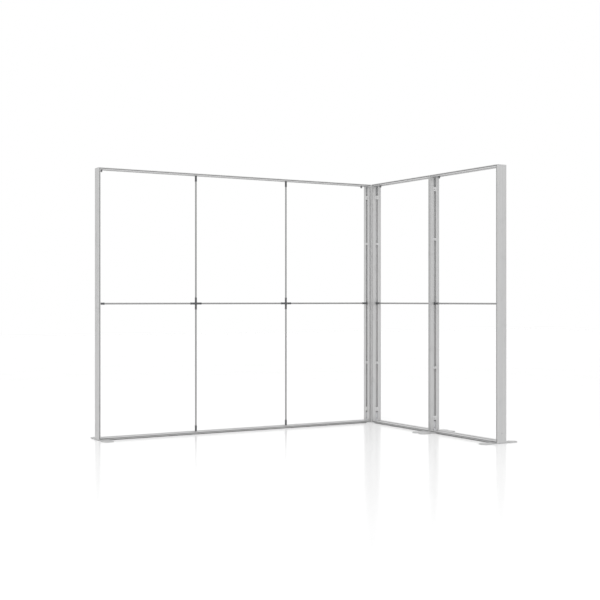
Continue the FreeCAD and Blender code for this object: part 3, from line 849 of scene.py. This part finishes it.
@dataclass
class CornerBrackets:
    """Angle brackets in the slots, their set screws, and the upper ones' thumb screws."""

    frames: tuple[str, ...] = ("back", "rear_side", "front_side")
    edge: float = 0.0008
    knob_node: str = "bracket_thumb_screws"
    knob_height: float = 0.020
    neck_radius: float = 0.006
    shank_radius: float = 0.004
    shank_length: float = 0.011
    teeth: int = 18
    tooth_depth: float = 0.0011
    chamfer: float = 0.0012
    dish: float = 0.0014
    dish_rim: float = 0.62
    dish_floor: float = 0.5

    def dress(self, dark: Material, bright: Material, steel: Material) -> None:
        """Dress the brackets and their set screws.

        Args:
            dark: Finish of the upper brackets.
            bright: Finish of the lower ones.
            steel: Finish of the set screws.
        """
        for name in self.frames:
            dress(f"{name}_top_brackets", dark, self.edge)
            dress(f"{name}_bottom_brackets", bright, self.edge)
        dress("bracket_set_screws", steel)

    def pattern(self, radius: float, length: float) -> Blank:
        """Make one thumb screw.

        Args:
            radius: Radius of its knob.
            length: Length of the whole screw.

        Returns:
            The screw along Z, its tip at the origin.
        """
        screw = Blank()
        edge, shank, neck = self.chamfer, self.shank_radius, self.neck_radius
        foot, floor = length - self.knob_height, length - self.dish
        low, high = foot + edge, length - edge
        screw.lathe(
            [
                (0.0, 0.0), (shank - edge / 2, 0.0), (shank, edge / 2),
                (shank, self.shank_length), (neck, self.shank_length),
                (neck, foot - edge), (neck + edge, foot),
                (radius - edge, foot), (radius, low), (radius, high), (radius - edge, length),
                (radius * self.dish_rim, length), (radius * self.dish_floor, floor), (0.0, floor),
            ],
            self.teeth * 2,
        )
        screw.knurl(radius, low, high, self.teeth, self.tooth_depth)
        return screw

    def build(self, plastic: Material) -> None:
        """Put a knurled thumb screw in the place of each one in the frame.

        Args:
            plastic: Their finish.
        """
        spans = solid_spans(self.knob_node)
        pattern = self.pattern(spans[0].size.x / 2, spans[0].size.z)
        screws = Blank()
        for span in spans:
            tip = Vector((span.centre.x, span.centre.y, span.high.z))
            screws.stamp(pattern, seat(tip, -UP, Vector((0, 1, 0))))
        made = screws.piece("knurled_thumb_screws", plastic)
        install(made, "stand", "thumb_plastic", self.knob_node)


@dataclass
class StabiliserTubes:
    """Thin tubes that brace the frames, with moulded sockets and cross connectors."""

    level: Mapping[str, Grain]
    uprights: tuple[str, ...] = (
        "back_left_lower_tube", "back_left_upper_tube",
        "back_right_lower_tube", "back_right_upper_tube",
    )
    sleeve_radius: float = 0.0101
    bore_radius: float = 0.0081
    insert: float = 0.045
    foot_height: float = 0.004
    foot_edge: float = 0.0006
    collar: float = 0.0009
    collar_length: float = 0.006
    fillet: float = 0.0015
    fillet_hollow: float = 0.3
    gusset_height: float = 0.010
    gusset_thickness: float = 0.002
    gusset_inset: float = 0.001
    overlap: float = 0.0005
    hub_share: float = 1.16
    hub_depth_share: float = 2.04
    hub_edge: float = 0.003
    steps: int = 40

    def dress(self, finishes: Mapping[Grain, Material]) -> None:
        """Give each tube the finish drawn along it.

        Args:
            finishes: The finish for each direction.
        """
        for node, grain in self.level.items():
            dress(node, finishes[grain])
        for node in self.uprights:
            dress(node, finishes[Grain.ALONG_Z])

    def sleeve(self, foot: float, length: float) -> list[Point]:
        """Draw a sleeve with a collar at its mouth and a blind bore.

        Args:
            foot: Height of its foot.
            length: Height of its mouth.

        Returns:
            Its outline, as radius and height.
        """
        lip, hollow = self.fillet / 2, self.fillet * self.fillet_hollow
        outer, inner = self.sleeve_radius, self.bore_radius
        return [
            (0.0, foot),
            (outer + self.fillet, foot),
            (outer + hollow, foot + hollow),
            (outer, foot + self.fillet),
            (outer, length - self.collar_length - self.collar),
            (outer + self.collar, length - self.collar_length),
            (outer + self.collar, length - lip),
            (outer + self.collar - lip, length),
            (inner + lip / 2, length),
            (inner, length - lip / 2),
            (inner, length - self.insert),
            (0.0, length - self.insert),
        ]

    def socket_pattern(self, span: Span) -> Blank:
        """Make one socket.

        Args:
            span: Box of the socket in the frame.

        Returns:
            The socket along Z, its foot at the origin.
        """
        length = max(span.size)
        width = min(span.size)
        socket = Blank()
        socket.lathe(self.sleeve(self.foot_height, length), self.steps)
        foot_size = (width, width, self.foot_height)
        socket.block(foot_size, (0, 0, self.foot_height / 2), self.foot_edge)
        gusset = self.gusset_pattern(width / 2 - self.gusset_inset)
        for quarter in range(4):
            socket.stamp(gusset, Matrix.Rotation(quarter * math.pi / 2 + math.pi / 4, 4, "Z"))
        return socket

    def gusset_pattern(self, reach: float) -> Blank:
        """Make one gusset between a socket's foot and its sleeve.

        Args:
            reach: How far it goes out from the socket's axis.

        Returns:
            The gusset, square to Y.
        """
        gusset = Blank()
        inner, low = self.bore_radius + self.overlap, self.foot_height - self.overlap
        outline = [(inner, low), (reach, low), (inner, self.foot_height + self.gusset_height)]
        near = -self.gusset_thickness / 2
        face = gusset.mesh.faces.new(
            [gusset.mesh.verts.new((across, near, height)) for across, height in outline]
        )
        raised = bmesh.ops.extrude_face_region(gusset.mesh, geom=[face])["geom"]
        bmesh.ops.translate(gusset.mesh, vec=(0, -2 * near, 0), verts=verts_of(raised))
        gusset.close()
        return gusset

    def build_sockets(self, node: str, plastic: Material) -> None:
        """Put a moulded socket in the place of each one of a node.

        Args:
            node: The CAD node that holds the sockets.
            plastic: Their finish.
        """
        spans = solid_spans(node)
        middle = node_span(node).centre
        pattern = self.socket_pattern(spans[0])
        sockets = Blank()
        for span in spans:
            axis = span.axis(longest=True)
            inward = Vector((0, 0, 0))
            inward[axis] = math.copysign(1.0, middle[axis] - span.centre[axis])
            foot = span.centre - inward * span.size[axis] / 2
            sockets.stamp(pattern, seat(foot, inward, upright(inward)))
        install(sockets.piece(f"moulded_{node}", plastic), "stand", "sleeve_plastic", node)

    def build_cross(self, node: str, plastic: Material) -> None:
        """Put a moulded cross in the place of one in the frame.

        Args:
            node: The CAD node of the cross.
            plastic: Its finish.
        """
        span = node_span(node)
        arm = Blank()
        arm.lathe(self.sleeve(0.0, span.size.x / 2), self.steps)
        cross = Blank()
        for direction in (Vector((1, 0, 0)), Vector((-1, 0, 0)), UP, -UP):
            cross.stamp(arm, seat(span.centre, direction, Vector((0, 1, 0))))
        hub = self.sleeve_radius * 2 * self.hub_share
        depth = self.sleeve_radius * self.hub_depth_share
        cross.block((hub, depth, hub), span.centre, self.hub_edge, segments=3)
        install(cross.piece(f"moulded_{node}", plastic), "stand", "sleeve_plastic", node)


@dataclass
class FrameLocks:
    """Lock plates across the slot of one post, and the quarter-turn locks through them."""

    frame_name: str
    post: str
    levels: tuple[str, ...] = ("lowest", "lower", "upper", "highest")
    plate_corner: float = 0.004
    bore_radius: float = 0.00505
    plate_edge: float = 0.0005
    rivet_radius: float = 0.0028
    rivet_height: float = 0.0011
    rivet_inset: float = 0.0038
    rivet_dome: tuple[Point, ...] = ((1.0, 0.25), (0.82, 0.7), (0.45, 1.0), (0.0, 1.0))
    rivet_steps: int = 20
    shaft_radius: float = 0.005
    shaft_steps: int = 32
    knob_foot: float = 0.0031
    knob_height: float = 0.005
    dish_rim: float = 0.8
    dish_floor: float = 0.74
    grip_width: float = 0.006
    grip_rounding: float = 0.3
    head_width: float = 0.010
    head_thickness: float = 0.005
    teeth: int = 24
    tooth_depth: float = 0.0006
    chamfer: float = 0.0008

    def rivet(self) -> Blank:
        """Make one domed rivet head on Z = 0.

        Returns:
            The rivet head.
        """
        head = Blank()
        radius, height = self.rivet_radius, self.rivet_height
        dome = [(radius * across, height * rise) for across, rise in self.rivet_dome]
        head.lathe([(0.0, -height / 2), (radius, -height / 2), *dome], self.rivet_steps)
        return head

    def build_plates(self, metal: Material) -> None:
        """Put a riveted plate in the place of each one on the post.

        Args:
            metal: Their finish.
        """
        node = f"{self.frame_name}_{self.post}_lock_plates"
        outward = self._outward()
        plates = Blank()
        rivet = self.rivet()
        for span in solid_spans(node):
            thin = span.axis(longest=False)
            width = span.size[1 - thin]
            height, thickness = span.size.z, span.size[thin]
            plate = Blank()
            plate.plate(width, height, thickness, self.plate_corner, self.bore_radius)
            rims = [
                edge for edge in plate.corners()
                if all(vert.co.z > thickness / 2 for vert in edge.verts)
            ]
            plate.round_off(rims, self.plate_edge)
            for side in (-1, 1):
                place = (side * (width / 2 - self.rivet_inset), 0, thickness)
                plate.stamp(rivet, Matrix.Translation(place))
            foot = span.centre - outward * thickness / 2
            plates.stamp(plate, seat(foot, outward, UP))
        install(plates.piece(f"riveted_{node}", metal), "stand", "lock_plate", node)

    def _outward(self) -> Vector:
        """Direction in which the knobs of this post's locks stand out."""
        name = f"{self.frame_name}_{self.levels[0]}_lock"
        return Vector(next(joint["axis"] for joint in frame["joints"] if joint["child"] == name))

    def lock_pattern(self, radius: float, top: float, foot: float) -> Blank:
        """Make one lock.

        Args:
            radius: Radius of its knob.
            top: Height of its grip above the post's inner face.
            foot: Depth of its cross head below that face.

        Returns:
            The lock along Z, with the post's inner face at the origin.
        """
        lock = Blank()
        edge = self.chamfer
        rim_low, rim_high = self.knob_foot + edge, self.knob_foot + self.knob_height - edge
        lock.lathe(
            [
                (0.0, self.knob_foot), (radius - edge, self.knob_foot),
                (radius, rim_low), (radius, rim_high), (radius - edge, rim_high + edge),
                (radius * self.dish_rim, rim_high + edge),
                (radius * self.dish_floor, rim_high + edge / 2), (0.0, rim_high + edge / 2),
            ],
            self.teeth * 2,
        )
        lock.knurl(radius, rim_low, rim_high, self.teeth, self.tooth_depth)
        grip_height = top - rim_high
        lock.block(
            (radius * 2 - edge, self.grip_width, grip_height),
            (0, 0, rim_high + grip_height / 2), self.grip_width * self.grip_rounding, segments=3,
        )
        lock.lathe(
            [
                (0.0, -foot), (self.shaft_radius - edge, -foot),
                (self.shaft_radius, -foot + edge), (self.shaft_radius, self.knob_foot),
                (0.0, self.knob_foot),
            ],
            self.shaft_steps,
        )
        lock.block(
            (radius * 2, self.head_width, self.head_thickness),
            (0, 0, self.head_thickness / 2 - foot), edge,
        )
        return lock

    def build_locks(self, metal: Material) -> None:
        """Put a lock in the place of each one on the post, each on its own body.

        Args:
            metal: Their finish.
        """
        places = {joint["child"]: Vector(joint["pos_m"]) for joint in frame["joints"]}
        outward = self._outward()
        for level in self.levels:
            node = f"{self.frame_name}_{level}_lock"
            span = node_span(node)
            ends = [(corner - places[node]).dot(outward) for corner in (span.low, span.high)]
            pattern = self.lock_pattern(span.size.z / 2, max(ends), -min(ends))
            lock = Blank()
            lock.stamp(pattern, seat(places[node], outward, UP))
            install(lock.piece(f"quarter_turn_{node}", metal), node, "lock_metal", node)


@dataclass(frozen=True)
class SoftLamp:
    """Square soft lamp that shines at the middle of the stand."""

    name: str
    place: tuple[float, float, float]
    size: float
    power: float
    target: tuple[float, float, float] = (0.0, 0.0, 1.0)

    def hang(self) -> None:
        """Hang the lamp in its place."""
        lamp = bpy.data.lights.new(self.name, "AREA")
        lamp.size = self.size
        lamp.energy = self.power
        hung = bpy.data.objects.new(self.name, lamp)
        hung.location = self.place
        aim = Vector(self.target) - Vector(self.place)
        hung.rotation_euler = aim.to_track_quat("-Z", "Y").to_euler()
        bpy.context.scene.collection.objects.link(hung)


@dataclass
class Studio:
    """White studio: a glossy pale floor with painted shadow in the gaps under the stand, an even
    surround, soft lamps and the camera.
    """

    floor_size: float = 60.0
    floor_colour: Colour = (0.965, 0.965, 0.965, 1.0)
    floor_roughness: float = 0.16
    floor_index: float = 1.25
    floor_lift: float = 0.04
    wear_pitch: float = 1.25
    wear_dulling: float = 0.04
    # Painted shadow on the floor in the narrow gaps under the stand: its colour and the occlusion
    # that places it.
    gap_shadow_colour: Colour = (0.03, 0.03, 0.03, 1.0)
    gap_shadow_reach: float = 0.05
    gap_shadow_shut: float = 0.22
    gap_shadow_clear: float = 0.5
    surround: float = 0.9
    lamps: tuple[SoftLamp, ...] = (
        SoftLamp("overhead_lamp", (-1.0, -2.0, 7.0), size=6.0, power=120.0),
        SoftLamp("front_lamp", (-4.5, -8.5, 4.0), size=4.0, power=55.0),
    )
    camera_place: tuple[float, float, float] = (-5.11251, -8.69921, 1.28595)
    camera_turn: float = math.radians(-30.39)
    lens: float = 65.678
    sensor: float = 36.0
    shift: float = 0.00067

    def build_floor(self) -> None:
        """Lay the floor, which takes the stand's shadow and a faint reflection, and has painted
        shadow in the narrow gaps under the stand.
        """
        sheet = bmesh.new()
        bmesh.ops.create_grid(sheet, x_segments=1, y_segments=1, size=self.floor_size / 2)
        data = bpy.data.meshes.new("studio_floor")
        sheet.to_mesh(data)
        sheet.free()
        floor = bpy.data.objects.new("studio_floor", data)
        bpy.context.scene.collection.objects.link(floor)
        made = bpy.data.materials.new("white_floor")
        bench = ShaderBench(made)
        wear = bench.noise(even(self.wear_pitch), detail=2.0)
        # Painted shadow: the floor's colour turns near black where the stand blocks its sky, under
        # the rails; the glow is withheld there too.
        gap_shadow = bench.hollow(self.gap_shadow_reach, self.gap_shadow_shut, self.gap_shadow_clear, own=False)
        lift = self._seen(bench) * (1 - gap_shadow)
        bench.surface(
            base_color=bench.blend(gap_shadow, self.floor_colour, self.gap_shadow_colour),
            roughness=wear * self.wear_dulling + (self.floor_roughness - self.wear_dulling / 2),
            ior=self.floor_index,
            emission_color=bench.blend(lift, grey(0.0), grey(self.floor_lift)),
            emission_strength=1.0,
        )
        data.materials.append(made)

    @staticmethod
    def _seen(bench: ShaderBench) -> Signal:
        """Tell a seen surface from one that only gives light.

        Args:
            bench: The tree that asks.

        Returns:
            1 for a ray from the camera, a reflection or a clear body, else 0.
        """
        path = bench.add("ShaderNodeLightPath")
        camera, glossy, clear = (
            Signal(bench, path.outputs[f"Is {kind} Ray"])
            for kind in ("Camera", "Glossy", "Transmission")
        )
        return camera.larger(glossy).larger(clear)

    def build_surround(self) -> None:
        """Set an even white surround."""
        world = bpy.data.worlds.new("white_surround")
        bench = ShaderBench(world)
        light, backdrop = (
            bench.add("ShaderNodeBackground", None, {"Color": grey(1.0), "Strength": level})
            for level in (self.surround, 1.0)
        )
        mix = bench.add(
            "ShaderNodeMixShader", None,
            {0: self._seen(bench), 1: light.outputs[0], 2: backdrop.outputs[0]},
        )
        bench.add("ShaderNodeOutputWorld", None, {"Surface": mix.outputs[0]})
        bpy.context.scene.world = world

    def build_camera(self) -> None:
        """Set the camera at the photograph's place, level."""
        camera = bpy.data.cameras.new("camera")
        camera.lens = self.lens
        camera.sensor_width = self.sensor
        camera.shift_y = self.shift
        held = bpy.data.objects.new("camera", camera)
        held.location = self.camera_place
        held.rotation_euler = (math.pi / 2, 0.0, self.camera_turn)
        bpy.context.scene.collection.objects.link(held)
        bpy.context.scene.camera = held

    def build(self) -> None:
        """Build the whole studio."""
        bpy.context.scene.view_settings.view_transform = "Standard"
        self.build_floor()
        self.build_surround()
        for lamp in self.lamps:
            lamp.hang()
        self.build_camera()
        LOG.info("studio: floor, surround, lamps and camera")


def main() -> None:
    """Build and dress the stand, then the studio round it."""
    logging.basicConfig(level=logging.INFO, format="%(name)s: %(message)s")
    # The frame profile carries painted shade in its grooves and slots.
    profile = {
        grain: DrawnMetal(
            f"satin_profile_{grain.name.lower()}", grain, grey(0.5), grey(0.64), painted_hollow_shade=True,
        ).material()
        for grain in Grain
    }
    tubing = {
        grain: DrawnMetal(
            f"satin_tube_{grain.name.lower()}", grain, grey(0.26), grey(0.36),
            line_pitch=0.0008, roughness=0.3,
        ).material()
        for grain in Grain
    }
    # Painted light: the corner post is lighter than the frame profile, to offset the shade of the
    # inside corner.
    corner_painted_light_metal = DrawnMetal("satin_corner_post_painted_light", Grain.ALONG_Z, grey(0.7), grey(0.84)).material()
    coat = PowderCoat("pale_foot_coat", grey(0.47), grey(0.41)).material()
    # Painted light: the corner base plate is lighter than the foot plates' coat, to offset the
    # shade of the inside corner.
    corner_painted_light_coat = PowderCoat("corner_coat_painted_light", grey(0.74), grey(0.66)).material()
    cap_plastic = MouldedPlastic("light_cap_plastic", grey(0.66), grey(0.72)).material()
    sleeve_plastic = MouldedPlastic(
        "dark_sleeve_plastic", grey(0.075, 0.004), grey(0.11, 0.004)
    ).material()
    knob_plastic = MouldedPlastic(
        "dark_knob_plastic", grey(0.22, 0.004), grey(0.28, 0.004)
    ).material()
    dark_coat = PowderCoat(
        "dark_bracket_coat", grey(0.27, 0.004), grey(0.33, 0.004), roughness=0.42,
    ).material()
    zinc = PlatedSteel("bright_zinc", grey(0.46, 0.01), grey(0.58, 0.01)).material()
    steel = PlatedSteel(
        "screw_steel", grey(0.44, 0.01), grey(0.56, 0.01), crystal_pitch=0.0015,
    ).material()
    plate_metal = DrawnMetal("satin_lock_plate", Grain.ALONG_Z, grey(0.62), grey(0.74)).material()
    cast_metal = PlatedSteel(
        "cast_lock_metal", grey(0.6), grey(0.74), roughness=0.34, crystal_pitch=0.0009,
    ).material()

    AluminiumFrame("back", ("left", "right"), Grain.ALONG_X).dress(profile)
    AluminiumFrame("rear_side", ("back", "front"), Grain.ALONG_Y).dress(profile)
    AluminiumFrame("front_side", ("back", "front"), Grain.ALONG_Y).dress(profile)
    CornerColumn().dress(corner_painted_light_metal, cap_plastic, corner_painted_light_coat)
    FootPlates().dress(coat)
    FootScrews().build(steel)

    brackets = CornerBrackets()
    brackets.dress(dark_coat, zinc, steel)
    brackets.build(knob_plastic)

    tubes = StabiliserTubes(
        {
            **{f"back_{bay}_level_tube": Grain.ALONG_X for bay in ("left", "middle", "right")},
            **{f"{side}_side_level_tube": Grain.ALONG_Y for side in ("rear", "front")},
        }
    )
    tubes.dress(tubing)
    for node in ("back_tube_sockets", "rear_side_tube_sockets", "front_side_tube_sockets"):
        tubes.build_sockets(node, sleeve_plastic)
    for node in ("back_left_cross_connector", "back_right_cross_connector"):
        tubes.build_cross(node, sleeve_plastic)

    for locks in (
        FrameLocks("back", "right_post"),
        FrameLocks("rear_side", "back_post"),
        FrameLocks("front_side", "back_post"),
    ):
        locks.build_plates(plate_metal)
        locks.build_locks(cast_metal)

    Studio().build()


if __name__ == "__main__":
    main()
